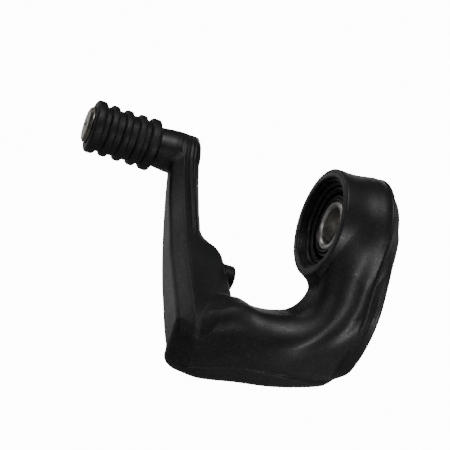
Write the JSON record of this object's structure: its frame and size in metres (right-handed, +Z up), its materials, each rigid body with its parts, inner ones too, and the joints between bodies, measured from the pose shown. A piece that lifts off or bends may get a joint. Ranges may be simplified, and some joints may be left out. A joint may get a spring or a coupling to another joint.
{
  "type": "motorcycle gear shift lever",
  "caption": "Black cast gear shift lever that curves round a gap from a sealed pivot cup to a ribbed rubber toe peg.",
  "frame": {"origin": "centre of the pivot sleeve's bore, halfway along the sleeve", "axes": "+X inboard along the pivot axis, +Y forward along the motorcycle, +Z up"},
  "size_m": [0.1103, 0.1329, 0.0969],
  "materials": {
    "black_coat": "satin",
    "machined_alloy": "machined",
    "peg_rubber": "matte",
    "ground_steel": "ground",
    "bearing_steel": "polished",
    "seal_rubber": "matte"
  },
  "bodies": {
    "lever": {"lever_arm": "black_coat", "peg_pin": "machined_alloy", "peg_rubber": "peg_rubber", "bearing_shell": "bearing_steel", "bearing_cage": "bearing_steel", "bearing_needles": "bearing_steel", "seal_outboard_rubber": "seal_rubber", "seal_outboard_case": "bearing_steel", "seal_outboard_spring": "bearing_steel", "seal_inboard_rubber": "seal_rubber", "seal_inboard_case": "bearing_steel"},
    "pivot": {"pivot_sleeve": "ground_steel"}
  },
  "joints": [
    {"name": "shift_pivot", "type": "hinge", "parent": "lever", "child": "pivot", "pos_m": [0, 0, 0], "axis": [1, 0, 0], "range_deg": [-14, 14]}
  ]
}
